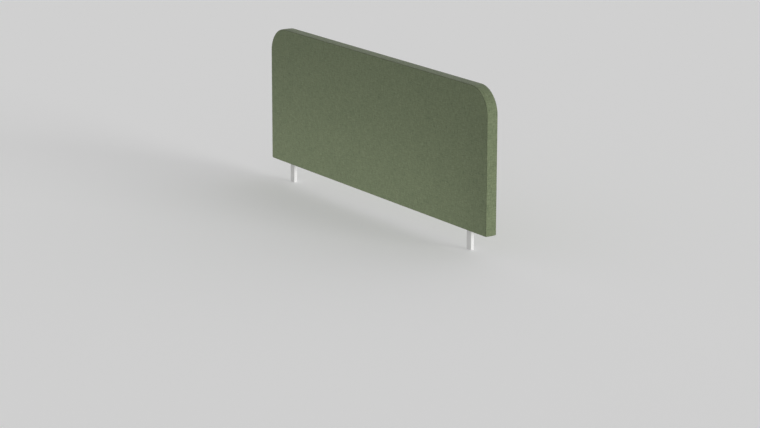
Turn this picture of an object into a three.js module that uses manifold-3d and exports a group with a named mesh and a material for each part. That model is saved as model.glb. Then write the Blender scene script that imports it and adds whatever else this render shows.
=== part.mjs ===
// Fabric-covered privacy panel for a double bench desk.
// Millimetres, +Z up. X runs along the panel, -Y is the front face, +Y the back face.
// Origin: centre of the plane of the two post feet, which bolt down on the bench frame.
// The panel drops over two steel posts: each post runs up a nylon-lined steel socket
// inside the timber core. Pieces named "near" are at the +X end, "far" at the -X end.
import * as THREE from 'three';
import { mergeVertices } from 'three/addons/utils/BufferGeometryUtils.js';
import Module from 'manifold-3d';

const wasm = await Module();
wasm.setup();

// ---- driving dimensions -------------------------------------------------
const LENGTH = 1600; // overall length of the panel
const HEIGHT = 590; // height of the panel itself
const THICK = 50; // finished thickness over the fabric
const CORNER_R = 110; // radius of the two top corners; the bottom corners are square
const POST_RISE = 85; // post showing between its foot and the panel's bottom edge
const POST_X = 662; // post centre line from the panel's middle

const GAP = 0.3; // clearance between neighbouring pieces
const FABRIC = 1; // cover fabric
const PAD = 7.4; // foam pad under each face
const WADDING = 2.7; // felt strip round the rim of the frame
const TAPE_T = 0.7; // zip tape
const OVERCUT = 1; // how far a cutting tool runs past the face it opens

// ---- places shared by several pieces --------------------------------------
const BOTTOM = POST_RISE;
const TOP = POST_RISE + HEIGHT;
const HALF = LENGTH / 2;
const FACE = THICK / 2;
const LINING = FABRIC + GAP; // from the cover's outside to whatever lies under it
const PAD_OUT = FACE - LINING;
const PAD_IN = PAD_OUT - PAD;
const CORE_HALF = PAD_IN - GAP; // half thickness of the timber frame
const TAPE_LOW = BOTTOM + LINING;
const INNER_LOW = TAPE_LOW + TAPE_T + GAP; // underside of frame, pads and wadding
const ARC_X = HALF - CORNER_R; // centres of the corner arcs
const ARC_Z = TOP - CORNER_R;
const ARC_STEPS = 18;
const ENDS = [
  ['near', 1],
  ['far', -1],
];

// ---- materials ----------------------------------------------------------
const finish = ({ color, roughness, metalness = 0 }) => () =>
  new THREE.MeshStandardMaterial({ color, roughness, metalness });
const coverFabric = finish({ color: 0x66705a, roughness: 0.95 });
const foam = finish({ color: 0xc9c4b4, roughness: 1 });
const felt = finish({ color: 0x8b8d8a, roughness: 1 });
const timber = finish({ color: 0xc9a878, roughness: 0.7 });
const dowelWood = finish({ color: 0xd8bd92, roughness: 0.6 });
const whitePaint = finish({ color: 0xe8e8e6, roughness: 0.45 });
const zincSteel = finish({ color: 0xb9bcc0, roughness: 0.4, metalness: 1 });
const nylon = finish({ color: 0x2b2c2c, roughness: 0.5 });
const zipTape = finish({ color: 0x59634c, roughness: 0.9 });
const zipNylon = finish({ color: 0x4f5845, roughness: 0.45 });
const zipMetal = finish({ color: 0x8f9294, roughness: 0.3, metalness: 1 });

// ---- solid modelling ------------------------------------------------------
function solid(geometry) {
  const flat = geometry.index ? geometry.toNonIndexed() : geometry;
  const bare = new THREE.BufferGeometry().setAttribute(
    'position',
    flat.getAttribute('position').clone(),
  );
  const merged = mergeVertices(bare, 1e-3);
  return new wasm.Manifold(
    new wasm.Mesh({
      numProp: 3,
      vertProperties: merged.attributes.position.array,
      triVerts: new Uint32Array(merged.index.array),
    }),
  );
}

function geometryOf(body) {
  const mesh = body.getMesh();
  const indexed = new THREE.BufferGeometry();
  const positions = new Float32Array(mesh.vertProperties);
  indexed.setAttribute('position', new THREE.BufferAttribute(positions, 3));
  indexed.setIndex(new THREE.BufferAttribute(new Uint32Array(mesh.triVerts), 1));
  const geometry = indexed.toNonIndexed();
  geometry.computeVertexNormals();
  return geometry;
}

const union = (...geometries) =>
  geometryOf(geometries.map(solid).reduce((a, b) => a.add(b)));
const cut = (geometry, ...tools) =>
  geometryOf(tools.map(solid).reduce((a, b) => a.subtract(b), solid(geometry)));

// ---- outlines: lists of [x, y] points ---------------------------------------
const arc = (cx, cy, r, from, to, steps) =>
  Array.from({ length: steps + 1 }, (_, i) => {
    const angle = from + ((to - from) * i) / steps;
    return [cx + r * Math.cos(angle), cy + r * Math.sin(angle)];
  });

const roundedRect = (cx, cy, w, d, r, steps = 3) => [
  ...arc(cx + w / 2 - r, cy + d / 2 - r, r, 0, Math.PI / 2, steps),
  ...arc(cx - w / 2 + r, cy + d / 2 - r, r, Math.PI / 2, Math.PI, steps),
  ...arc(cx - w / 2 + r, cy - d / 2 + r, r, Math.PI, 1.5 * Math.PI, steps),
  ...arc(cx + w / 2 - r, cy - d / 2 + r, r, 1.5 * Math.PI, 2 * Math.PI, steps),
];

const shift = (points, dx, dy) => points.map(([x, y]) => [x + dx, y + dy]);

// closes a +y side, listed from low x to high x, with its mirror image in y
const bothSides = (side, tip = []) => [
  ...side.map(([x, y]) => [x, -y]),
  ...tip,
  ...[...side].reverse(),
];

// the panel's outline set in by an amount: up the +X end, over the top, down the -X end
const archPoints = (inset, low) => [
  [HALF - inset, low],
  ...arc(ARC_X, ARC_Z, CORNER_R - inset, 0, Math.PI / 2, ARC_STEPS),
  ...arc(-ARC_X, ARC_Z, CORNER_R - inset, Math.PI / 2, Math.PI, ARC_STEPS),
  [-HALF + inset, low],
];

const shapeOf = (points, ...holes) => {
  const vectors = (list) => list.map(([x, y]) => new THREE.Vector2(x, y));
  const shape = new THREE.Shape(vectors(points));
  shape.holes = holes.map((hole) => new THREE.Path(vectors(hole)));
  return shape;
};
const panelShape = (inset, low) => shapeOf(archPoints(inset, low));
const archBand = (outer, inner, low) =>
  shapeOf([...archPoints(outer, low), ...archPoints(inner, low).reverse()]);

// ---- basic bodies -----------------------------------------------------------
// between two opposite corners, given in either order
const box = (x0, x1, y0, y1, z0, z1) =>
  new THREE.BoxGeometry(Math.abs(x1 - x0), Math.abs(y1 - y0), Math.abs(z1 - z0)).translate(
    (x0 + x1) / 2,
    (y0 + y1) / 2,
    (z0 + z1) / 2,
  );

const extrude = (shape, depth) =>
  new THREE.ExtrudeGeometry(shape, { depth, bevelEnabled: false, steps: 1 });
// outline in X and Z, thickness along Y
const prismY = (shape, y0, y1) =>
  extrude(shape, y1 - y0).rotateX(Math.PI / 2).translate(0, y1, 0);
// outline in X and Y, height along Z
const prismZ = (shape, z0, z1) => extrude(shape, z1 - z0).translate(0, 0, z0);
// section in Y and Z, length along X
const prismX = (shape, x0, x1) =>
  extrude(shape, x1 - x0)
    .applyMatrix4(
      new THREE.Matrix4().makeBasis(
        new THREE.Vector3(0, 1, 0),
        new THREE.Vector3(0, 0, 1),
        new THREE.Vector3(1, 0, 0),
      ),
    )
    .translate(x0, 0, 0);

// upright bar of rounded section, centred on Y = 0
const uprightBar = (x, w, d, r, z0, z1) => prismZ(shapeOf(roundedRect(x, 0, w, d, r)), z0, z1);
// pieces that run through the core's full thickness
const coreBox = (x0, x1, z0, z1) => box(x0, x1, -CORE_HALF, CORE_HALF, z0, z1);
const corePrism = (shape) => prismY(shape, -CORE_HALF, CORE_HALF);

const ROD_SIDES = 12;
const rodZ = (x, r, z0, z1) =>
  new THREE.CylinderGeometry(r, r, z1 - z0, ROD_SIDES)
    .rotateX(Math.PI / 2)
    .translate(x, 0, (z0 + z1) / 2);
const rodX = (z, r, x0, x1) =>
  new THREE.CylinderGeometry(r, r, Math.abs(x1 - x0), ROD_SIDES)
    .rotateZ(Math.PI / 2)
    .translate((x0 + x1) / 2, 0, z);
// a turned piece standing on Z, from [radius, height] pairs
const TURNED_SIDES = 16;
const turned = (x, profile) =>
  new THREE.LatheGeometry(
    profile.map(([r, z]) => new THREE.Vector2(r, z)),
    TURNED_SIDES,
  )
    .rotateX(Math.PI / 2)
    .translate(x, 0, 0);

const group = new THREE.Group();
function add(name, geometry, material) {
  const mesh = new THREE.Mesh(geometry, material());
  mesh.name = name;
  group.add(mesh);
}

// ---- post, bush and socket sections -------------------------------------------
const POST_W = 30; // along X
const POST_D = 15; // along Y
const POST_WALL = 2;
const POST_CORNER = 2;
const POST_BORE_W = POST_W - 2 * POST_WALL;
const POST_BORE_D = POST_D - 2 * POST_WALL;

const SOCKET_W = 38; // outside, along X
const SOCKET_D = 23; // outside, along Y
const SOCKET_WALL = 2;
const SOCKET_CORNER = 2.5;
const SOCKET_TOP = 247;
const SOCKET_END_T = 3; // thickness of the socket's closed top
const SOCKET_BORE_W = SOCKET_W - 2 * SOCKET_WALL;
const SOCKET_BORE_D = SOCKET_D - 2 * SOCKET_WALL;

const BORE_CORNER = 1; // inside corners of both tubes
const INSERT_CORNER = 0.8; // corners of what fits inside a tube
const NECK_W = SOCKET_BORE_W - 2 * GAP; // the bush's neck, which lines the socket
const NECK_D = SOCKET_BORE_D - 2 * GAP;

const CAP_T = 3; // cap plate over the post's end
const POST_TOP = SOCKET_TOP - SOCKET_END_T - GAP; // top of the post's cap
const CAP_LOW = POST_TOP - CAP_T;

// ---- cover --------------------------------------------------------------
add('front_face_cover', prismY(panelShape(0, BOTTOM), -FACE, -FACE + FABRIC), coverFabric);
add('back_face_cover', prismY(panelShape(0, BOTTOM), FACE - FABRIC, FACE), coverFabric);
add('edge_band_cover', prismY(archBand(0, FABRIC, BOTTOM), -PAD_OUT, PAD_OUT), coverFabric);

const STRIP_X = HALF - LINING;
const STRIP_Y = 12.8; // free edge of the bottom strip, where the zip starts
const SLOT_ROOM = 0.5; // round the neck of the guide bush
const SLOT_CORNER = 1.5;
const slot = (x) =>
  roundedRect(x, 0, NECK_W + 2 * SLOT_ROOM, NECK_D + 2 * SLOT_ROOM, SLOT_CORNER);
const stripOutline = [
  [-STRIP_X, -PAD_OUT],
  [STRIP_X, -PAD_OUT],
  [STRIP_X, STRIP_Y],
  [-STRIP_X, STRIP_Y],
];
add(
  'bottom_strip_cover',
  prismZ(shapeOf(stripOutline, slot(POST_X), slot(-POST_X)), BOTTOM, BOTTOM + FABRIC),
  coverFabric,
);

// ---- zip tapes and coils ----------------------------------------------------
const ZIP_Y = 18.3; // centre line of the zip, close to the back edge of the bottom
const ZIP_END = 786; // half length of the zip's chain
const TAPE_END = 798; // half length of the tapes
const TAPE_FRONT_Y = 10.8; // outer edges of the two tapes
const TAPE_BACK_Y = 23.6;
const TAPE_PART = 0.45; // from the zip's centre line to each tape
const tape = (yOuter, side) =>
  box(-TAPE_END, TAPE_END, yOuter, ZIP_Y + side * TAPE_PART, TAPE_LOW, TAPE_LOW + TAPE_T);
add('zip_tape_front', tape(TAPE_FRONT_Y, -1), zipTape);
add('zip_tape_back', tape(TAPE_BACK_Y, 1), zipTape);

// each half of the chain is a nylon coil, closed here as a bar of the coil's own section
const COIL_HALF = 1; // half height of the coil, centred on the cover's bottom
// columns: distance from the zip's centre line, height from the cover's bottom
const COIL_SECTION = [
  [0.15, -0.75], [1.9, -COIL_HALF], [2.55, -0.4], [2.7, 0],
  [2.55, 0.4], [1.9, COIL_HALF], [0.15, 0.75],
];
const coil = (side) => {
  const section = COIL_SECTION.map(([y, z]) => [ZIP_Y + side * y, BOTTOM + z]);
  return prismX(shapeOf(section), -ZIP_END, ZIP_END);
};
add('zip_coil_front', coil(-1), zipNylon);
add('zip_coil_back', coil(1), zipNylon);

// ---- zip stops: blocks with a channel along the top ----------------------------
const STOP_L = 3.5;
const STOP_HALF_W = 3.1;
const STOP_DEPTH = 1.4; // below the cover's bottom
const STOP_CHANNEL = 1.6; // half width
const STOP_OFF = 0.5; // from the end of the coils
const stop = (side) => {
  const inner = ZIP_END + STOP_OFF;
  const outer = inner + STOP_L;
  const block = (over, halfWidth, z0, z1) =>
    box(side * (inner - over), side * (outer + over), ZIP_Y - halfWidth, ZIP_Y + halfWidth, z0, z1);
  const top = BOTTOM + COIL_HALF;
  return cut(
    block(0, STOP_HALF_W, BOTTOM - STOP_DEPTH, top),
    block(OVERCUT, STOP_CHANNEL, BOTTOM, top + OVERCUT),
  );
};
add('zip_stop_near', stop(1), zipMetal);
add('zip_stop_far', stop(-1), zipMetal);

// ---- zip slider -----------------------------------------------------------------
// outer plate, two side flanges that hold the coils together, and the crown the pull hangs on
const SLIDER_X = -779; // slider's middle with the zip shut
// +Y edge of the plate; columns: x from the slider's middle, y from the zip's centre line
const PLATE_SIDE = [
  [-6.5, 2.6], [-4.9, 4.2], [-2.5, 4.5], [5.3, 4.2], [6.5, 3.4],
];
// columns: x from the slider's middle, z from the cover's bottom
const CROWN_OUTLINE = [
  [-4, -2.8], [-3.6, -4.8], [-2.4, -6.1], [2.4, -6.1], [3.6, -4.8], [4, -2.8],
];
const CROWN_EYE = [
  [-1.8, -5], [-1.8, -3.05], [1.8, -3.05], [1.8, -5],
];
const CROWN_HALF_W = 1.2;
// x and z as above; y measured to either side of the zip's centre line
const SIDE_FLANGE = { x0: -4.5, x1: 5.1, y0: 3.2, y1: 4.15, z0: -1.8, z1: 0.9 };

const atSlider = (points) => shift(points, SLIDER_X, ZIP_Y);
const sliderPlate = prismZ(
  shapeOf(atSlider(bothSides(PLATE_SIDE))),
  BOTTOM - 3.1,
  BOTTOM - 1.6,
);
const sliderFlange = (side) => {
  const { x0, x1, y0, y1, z0, z1 } = SIDE_FLANGE;
  return box(x0, x1, side * y0, side * y1, z0, z1).translate(SLIDER_X, ZIP_Y, BOTTOM);
};
const crown = prismY(
  shapeOf(shift(CROWN_OUTLINE, SLIDER_X, BOTTOM), shift(CROWN_EYE, SLIDER_X, BOTTOM)),
  ZIP_Y - CROWN_HALF_W,
  ZIP_Y + CROWN_HALF_W,
);
add('zip_slider', union(sliderPlate, sliderFlange(-1), sliderFlange(1), crown), zipMetal);

// ---- zip pull tab: lies flat, running to +X from its hinge bar in the crown ----------
const PULL_Z = BOTTOM - 4; // hinge line
const PULL_T = 1.2;
const PULL_END_R = 3.4;
const PULL_END_X = 24.6; // centre of the rounded end
// columns: x from the slider's middle, y from the zip's centre line
const PULL_SIDE = [
  [-0.6, 3], [5.5, 3], [9, 2.4], [22, PULL_END_R],
];
const HINGE_WINDOW = [
  [0.6, -1.5], [0.6, 1.5], [5.5, 1.5], [5.5, -1.5],
];
const pullEnd = arc(PULL_END_X, 0, PULL_END_R, -Math.PI / 2, Math.PI / 2, 8);
const pullSlot = roundedRect(22.5, 0, 6.4, 2.8, 1.4, 4);
add(
  'zip_pull_tab',
  prismZ(
    shapeOf(
      atSlider(bothSides(PULL_SIDE, pullEnd)),
      atSlider(HINGE_WINDOW),
      atSlider(pullSlot),
    ),
    PULL_Z - PULL_T / 2,
    PULL_Z + PULL_T / 2,
  ),
  zipMetal,
);

// ---- padding -------------------------------------------------------------
add('front_pad', prismY(panelShape(LINING, INNER_LOW), -PAD_OUT, -PAD_IN), foam);
add('back_pad', prismY(panelShape(LINING, INNER_LOW), PAD_IN, PAD_OUT), foam);
add('edge_wadding', corePrism(archBand(LINING, LINING + WADDING, INNER_LOW)), felt);

// ---- post sockets, their screws and guide bushes -------------------------------
const FLANGE_W = 84;
const FLANGE_D = 30;
const FLANGE_T = 2.5;
const FLANGE_CORNER = 4;
const SCREW_X = 31; // flange screws from the post's centre line
const BUSH_LIP_W = 44;
const BUSH_LIP_D = 25;
const BUSH_LIP_T = 1.5;
const BUSH_LIP_CORNER = 4;
const NECK_LAP = 1; // how far the neck runs down into the lip

// columns: radius, height; countersunk head down, point up
const SCREW_PROFILE = [
  [0, INNER_LOW + 0.3],
  [4, INNER_LOW + 0.3],
  [4, INNER_LOW + 0.6],
  [1.9, INNER_LOW + 2.9],
  [1.9, BOTTOM + 28],
  [0, BOTTOM + 31.5],
];
// the hole cleared for a screw, same columns
const SCREW_ROOM = [
  [0, INNER_LOW - OVERCUT],
  [4.4, INNER_LOW - OVERCUT],
  [4.4, INNER_LOW + 0.8],
  [2.3, INNER_LOW + 3.1],
  [2.3, BOTTOM + 32.5],
  [0, BOTTOM + 32.5],
];
const screwRooms = (x) => [x - SCREW_X, x + SCREW_X].map((at) => turned(at, SCREW_ROOM));

function socket(x) {
  const tube = uprightBar(x, SOCKET_W, SOCKET_D, SOCKET_CORNER, INNER_LOW, SOCKET_TOP);
  const flangeTop = INNER_LOW + FLANGE_T;
  const flange = uprightBar(x, FLANGE_W, FLANGE_D, FLANGE_CORNER, INNER_LOW, flangeTop);
  const boreLow = INNER_LOW - OVERCUT;
  const boreTop = SOCKET_TOP - SOCKET_END_T;
  const bore = uprightBar(x, SOCKET_BORE_W, SOCKET_BORE_D, BORE_CORNER, boreLow, boreTop);
  return cut(union(tube, flange), bore, ...screwRooms(x));
}

function guideBush(x) {
  const lipTop = BOTTOM - GAP;
  const lipLow = lipTop - BUSH_LIP_T;
  const lip = uprightBar(x, BUSH_LIP_W, BUSH_LIP_D, BUSH_LIP_CORNER, lipLow, lipTop);
  const neck = uprightBar(x, NECK_W, NECK_D, INSERT_CORNER, lipTop - NECK_LAP, CAP_LOW);
  const postWay = uprightBar(
    x,
    POST_W + 2 * GAP,
    POST_D + 2 * GAP,
    POST_CORNER,
    lipLow - OVERCUT,
    CAP_LOW + OVERCUT,
  );
  return cut(union(lip, neck), postWay);
}

for (const [end, side] of ENDS) {
  const x = side * POST_X;
  add(end + '_socket', socket(x), zincSteel);
  add(end + '_socket_screw_outer', turned(x + side * SCREW_X, SCREW_PROFILE), zincSteel);
  add(end + '_socket_screw_inner', turned(x - side * SCREW_X, SCREW_PROFILE), zincSteel);
  add(end + '_guide_bush', guideBush(x), nylon);
}

// ---- posts -----------------------------------------------------------------
const NUT_R = 3.4; // tapping size of the M8 thread in each post foot
const NUT_H = 25;
const PLUG_DEPTH = 16; // cap plug's lower end, below the cap's top
const PLUG_LAP = 1; // how far the plug runs up into the cap plate
const INSERT_W = POST_BORE_W - 2 * GAP; // foot nut and cap plug, inside the post
const INSERT_D = POST_BORE_D - 2 * GAP;

const postTube = (x) => {
  const outside = roundedRect(x, 0, POST_W, POST_D, POST_CORNER);
  const inside = roundedRect(x, 0, POST_BORE_W, POST_BORE_D, BORE_CORNER);
  return prismZ(shapeOf(outside, inside), 0, CAP_LOW - GAP);
};
const footNut = (x) => {
  const outside = roundedRect(x, 0, INSERT_W, INSERT_D, INSERT_CORNER);
  const thread = arc(x, 0, NUT_R, 0, 2 * Math.PI, 20).slice(0, -1);
  return prismZ(shapeOf(outside, thread), 0, NUT_H);
};
const postCap = (x) => {
  const plugLow = POST_TOP - PLUG_DEPTH;
  return union(
    uprightBar(x, POST_W, POST_D, POST_CORNER, CAP_LOW, POST_TOP),
    uprightBar(x, INSERT_W, INSERT_D, INSERT_CORNER, plugLow, CAP_LOW + PLUG_LAP),
  );
};
for (const [end, side] of ENDS) {
  const x = side * POST_X;
  add(end + '_post', postTube(x), whitePaint);
  add(end + '_post_foot_nut', footNut(x), zincSteel);
  add(end + '_post_cap', postCap(x), nylon);
}

// ---- timber frame: sizes ------------------------------------------------------
const FRAME_W = 40; // width of top rail, end stiles and corner blocks
const RAIL_H = 50; // height of the bottom rail
const CENTRE_W = 40; // width of the middle stile
const POST_STILE_W = 66; // width of the two stiles that hold the sockets
const POST_STILE_DROP = 1.2; // from the top rail down to the post stiles

const FRAME_INSET = LINING + WADDING + GAP; // frame outline inside the fabric outline
const FRAME_X = HALF - FRAME_INSET;
const FRAME_TOP = TOP - FRAME_INSET;
const FRAME_R = CORNER_R - FRAME_INSET;
const BLOCK_IN = FRAME_R - FRAME_W; // inner radius of the corner blocks
const RAIL_TOP = INNER_LOW + RAIL_H;
const STILE_LOW = RAIL_TOP + GAP;
const TOP_RAIL_LOW = FRAME_TOP - FRAME_W;
const BAY_TOP = TOP_RAIL_LOW - GAP;
const POST_STILE_IN = POST_X - POST_STILE_W / 2;
const POST_STILE_OUT = POST_X + POST_STILE_W / 2;

// ---- dowels; "room" enlarges one all round to cut its hole ------------------------
const DOWEL_R = 4;
const SMALL_DOWEL_R = 3;
const LOW_DOWEL_FROM = BOTTOM + 34;
const LOW_DOWEL_TO = BOTTOM + 74;
const CORNER_DOWEL_HALF = 25; // half length
const END_DOWEL_X = FRAME_X - FRAME_W / 2;
const TOP_DOWEL_Z = FRAME_TOP - FRAME_W / 2;
const POST_DOWEL = POST_STILE_W / 2 - 6.8; // from the post's centre line
const POST_DOWEL_XS = [POST_X - POST_DOWEL, POST_X + POST_DOWEL];

const lowDowel = (x, r, room = 0) => rodZ(x, r + room, LOW_DOWEL_FROM - room, LOW_DOWEL_TO + room);
const centreDowel = (room) => lowDowel(0, DOWEL_R, room);
const endDowel = (side, room) => lowDowel(side * END_DOWEL_X, DOWEL_R, room);
const postDowels = (side, room) =>
  POST_DOWEL_XS.map((x) => lowDowel(side * x, SMALL_DOWEL_R, room));
const cornerUpDowel = (side, room = 0) => {
  const half = CORNER_DOWEL_HALF + room;
  return rodZ(side * END_DOWEL_X, DOWEL_R + room, ARC_Z - half, ARC_Z + half);
};
const cornerLevelDowel = (side, room = 0) => {
  const half = CORNER_DOWEL_HALF + room;
  return rodX(TOP_DOWEL_Z, DOWEL_R + room, side * (ARC_X - half), side * (ARC_X + half));
};

// ---- rails and middle stile --------------------------------------------------------
const socketRoom = (x, z0, z1) => {
  const halfW = SOCKET_W / 2 + GAP;
  const halfD = SOCKET_D / 2 + GAP;
  return box(x - halfW, x + halfW, -halfD, halfD, z0, z1);
};
const flangeRoom = (x) => {
  const halfW = FLANGE_W / 2 + GAP;
  const halfD = CORE_HALF + OVERCUT; // open through both faces of the rail
  const top = INNER_LOW + FLANGE_T + GAP;
  return box(x - halfW, x + halfW, -halfD, halfD, INNER_LOW - OVERCUT, top);
};
const railTools = ENDS.flatMap(([, side]) => [
  socketRoom(side * POST_X, INNER_LOW - OVERCUT, RAIL_TOP + OVERCUT),
  flangeRoom(side * POST_X),
  ...screwRooms(side * POST_X),
  endDowel(side, GAP),
  ...postDowels(side, GAP),
]);
add(
  'bottom_rail',
  cut(coreBox(-FRAME_X, FRAME_X, INNER_LOW, RAIL_TOP), ...railTools, centreDowel(GAP)),
  timber,
);
add(
  'top_rail',
  cut(
    coreBox(-ARC_X + GAP, ARC_X - GAP, TOP_RAIL_LOW, FRAME_TOP),
    cornerLevelDowel(1, GAP),
    cornerLevelDowel(-1, GAP),
  ),
  timber,
);
add(
  'centre_stile',
  cut(coreBox(-CENTRE_W / 2, CENTRE_W / 2, STILE_LOW, BAY_TOP), centreDowel(GAP)),
  timber,
);
add('centre_stile_dowel', centreDowel(), dowelWood);

// ---- stiles, corner blocks and felt at each end ----------------------------------------
const endStile = (side) =>
  cut(
    coreBox(side * (FRAME_X - FRAME_W), side * FRAME_X, STILE_LOW, ARC_Z - GAP),
    endDowel(side, GAP),
    cornerUpDowel(side, GAP),
  );

const postStile = (side) =>
  cut(
    coreBox(side * POST_STILE_IN, side * POST_STILE_OUT, STILE_LOW, TOP_RAIL_LOW - POST_STILE_DROP),
    socketRoom(side * POST_X, STILE_LOW - OVERCUT, SOCKET_TOP + GAP),
    ...postDowels(side, GAP),
  );

const cornerBlock = (side) => {
  const from = side > 0 ? 0 : Math.PI / 2;
  const quarter = (r) => arc(side * ARC_X, ARC_Z, r, from, from + Math.PI / 2, ARC_STEPS);
  return cut(
    corePrism(shapeOf([...quarter(FRAME_R), ...quarter(BLOCK_IN).reverse()])),
    cornerUpDowel(side, GAP),
    cornerLevelDowel(side, GAP),
  );
};

// sound-absorbing felt that fills the frame's openings
const mainAbsorber = (side) =>
  coreBox(side * (CENTRE_W / 2 + GAP), side * (POST_STILE_IN - GAP), STILE_LOW, BAY_TOP);

const endAbsorber = (side) => {
  const inner = POST_STILE_OUT + GAP;
  const r = BLOCK_IN - GAP;
  const stopAngle = Math.acos((inner - ARC_X) / r); // where the arc meets the inner edge
  const bay = [
    [inner, STILE_LOW],
    [ARC_X + r, STILE_LOW],
    ...arc(ARC_X, ARC_Z, r, 0, stopAngle, 12),
  ];
  return corePrism(shapeOf(bay.map(([x, z]) => [side * x, z])));
};

for (const [end, side] of ENDS) {
  const [innerDowel, outerDowel] = postDowels(side);
  add(end + '_end_stile', endStile(side), timber);
  add(end + '_post_stile', postStile(side), timber);
  add(end + '_corner_block', cornerBlock(side), timber);
  add(end + '_corner_dowel_upright', cornerUpDowel(side), dowelWood);
  add(end + '_corner_dowel_level', cornerLevelDowel(side), dowelWood);
  add(end + '_end_stile_dowel', endDowel(side), dowelWood);
  add(end + '_post_stile_dowel_inner', innerDowel, dowelWood);
  add(end + '_post_stile_dowel_outer', outerDowel, dowelWood);
  add(end + '_main_absorber', mainAbsorber(side), felt);
  add(end + '_end_absorber', endAbsorber(side), felt);
}

export default group;
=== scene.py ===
"""A fabric-covered panel that stands upright between two posts.

X runs along the panel: the near end is +X and the far end -X. The front faces -Y, and Z is up.
Meshes are worked out in millimetres and stored in metres. The cover is a front and a back face
sheet, a band round the ends and top, and a bottom strip with a zip along its back edge.
"""
import bmesh
import bpy
import math
import numpy as np
from mathutils import Vector, Matrix, kdtree
from mathutils.geometry import delaunay_2d_cdt


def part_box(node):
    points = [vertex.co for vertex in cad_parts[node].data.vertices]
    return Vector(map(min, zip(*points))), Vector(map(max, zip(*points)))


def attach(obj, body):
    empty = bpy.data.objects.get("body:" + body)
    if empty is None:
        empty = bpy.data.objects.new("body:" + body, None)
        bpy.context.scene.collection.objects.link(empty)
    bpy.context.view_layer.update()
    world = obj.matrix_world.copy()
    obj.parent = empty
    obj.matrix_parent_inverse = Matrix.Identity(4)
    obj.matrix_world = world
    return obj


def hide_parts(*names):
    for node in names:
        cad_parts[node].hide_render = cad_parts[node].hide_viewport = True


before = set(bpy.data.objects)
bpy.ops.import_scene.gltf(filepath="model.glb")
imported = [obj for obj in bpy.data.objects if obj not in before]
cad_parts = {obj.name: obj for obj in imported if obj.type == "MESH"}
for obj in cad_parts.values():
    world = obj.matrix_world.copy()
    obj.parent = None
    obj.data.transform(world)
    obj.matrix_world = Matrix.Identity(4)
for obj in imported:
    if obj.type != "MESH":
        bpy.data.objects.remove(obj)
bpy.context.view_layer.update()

MM = 0.001
ENDS = ("near", "far")
scene = bpy.context.scene


# ---------------------------------------------------------------- sizes from the frame, in mm
def box_mm(node):
    """The low and high corners of a CAD node."""
    low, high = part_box(node)
    return np.array(low) * 1000, np.array(high) * 1000


front_low, front_high = box_mm("front_face_cover")
block_low, block_high = box_mm("near_corner_block")
HALF = front_high[0]                            # half the panel's length
LOW, TOP = front_low[2], front_high[2]
FACE = box_mm("back_face_cover")[1][1]          # from the middle plane out to each face
CORNER_R = (block_high[0] - block_low[0]) + (HALF - block_high[0])
ARC_X, ARC_Z = HALF - CORNER_R, TOP - CORNER_R  # centre of the near top corner
ZIP_EDGE = box_mm("bottom_strip_cover")[1][1]   # the bottom strip's back edge

# the rolled edge that neighbouring cloths share: (distance in from the edge, depth below surface)
ROLL = [
    (1.38, 1.36), (1.10, 1.08), (0.82, 0.86), (0.64, 0.63), (0.66, 0.42),
    (0.84, 0.25), (1.16, 0.11), (1.62, 0.035), (2.3, 0.0),
]
ROLL_WIDTH = ROLL[-1][0]
STITCH = 4.8        # stitch pitch along the seams
STEP = 1.6          # point spacing along the cover's edges
CLOTH = 1.0         # from the outer skin in to the inner skin


# ---------------------------------------------------------------- mesh helpers
def make_object(name, points, faces, uv=None, attrs=None):
    """A smooth mesh object from points in mm and face index arrays. uv: a pair per point, in m."""
    mesh = bpy.data.meshes.new(name)
    co = np.asarray(points, np.float32) * MM
    sizes = np.array([len(f) for f in faces], np.int32)
    loops = np.concatenate([np.asarray(f, np.int32) for f in faces])
    mesh.vertices.add(len(co))
    mesh.vertices.foreach_set("co", co.ravel())
    mesh.loops.add(len(loops))
    mesh.loops.foreach_set("vertex_index", loops)
    starts = np.concatenate([[0], np.cumsum(sizes)[:-1]]).astype(np.int32)
    mesh.polygons.add(len(sizes))
    mesh.polygons.foreach_set("loop_start", starts)
    mesh.polygons.foreach_set("loop_total", sizes)
    mesh.update(calc_edges=True)
    if uv is not None:
        layer = mesh.uv_layers.new(name="weave")
        layer.data.foreach_set("uv", np.asarray(uv, np.float32)[loops].ravel())
    for key, values in (attrs or {}).items():
        attribute = mesh.attributes.new(key, "FLOAT", "POINT")
        attribute.data.foreach_set("value", np.asarray(values, np.float32))
    mesh.polygons.foreach_set("use_smooth", np.full(len(sizes), True))
    mesh.validate()
    obj = bpy.data.objects.new(name, mesh)
    scene.collection.objects.link(obj)
    return obj


def outward(obj):
    """Turns a closed piece's faces out."""
    bm = bmesh.new()
    bm.from_mesh(obj.data)
    bmesh.ops.recalc_face_normals(bm, faces=bm.faces)
    if bm.calc_volume(signed=True) < 0:
        bmesh.ops.reverse_faces(bm, faces=bm.faces)
    bm.to_mesh(obj.data)
    bm.free()
    return obj


def grid_faces(index):
    """Quads between the rows and columns of an index grid, or of a stack of grids."""
    corners = [index[..., :-1, :-1], index[..., :-1, 1:], index[..., 1:, 1:], index[..., 1:, :-1]]
    return list(np.stack(corners, -1).reshape(-1, 4))


def wrapped_faces(index):
    """The same, with each row closed into a loop."""
    return grid_faces(np.concatenate([index, index[..., :1]], -1))


def ring_faces(first, second, count, flip=False):
    """Quads between two rings of the same count, given the index each starts at."""
    i = np.arange(count)
    j = (i + 1) % count
    quads = np.stack([first + i, first + j, second + j, second + i], 1)
    return list(quads[:, ::-1] if flip else quads)


def halve_faces(first, count, second):
    """Pentagons from a ring of count points to a ring of half as many."""
    half = count // 2
    i = np.arange(half)
    return list(np.stack([first + 2 * i, first + 2 * i + 1, first + (2 * i + 2) % count,
                          second + (i + 1) % half, second + i], 1))


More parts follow.
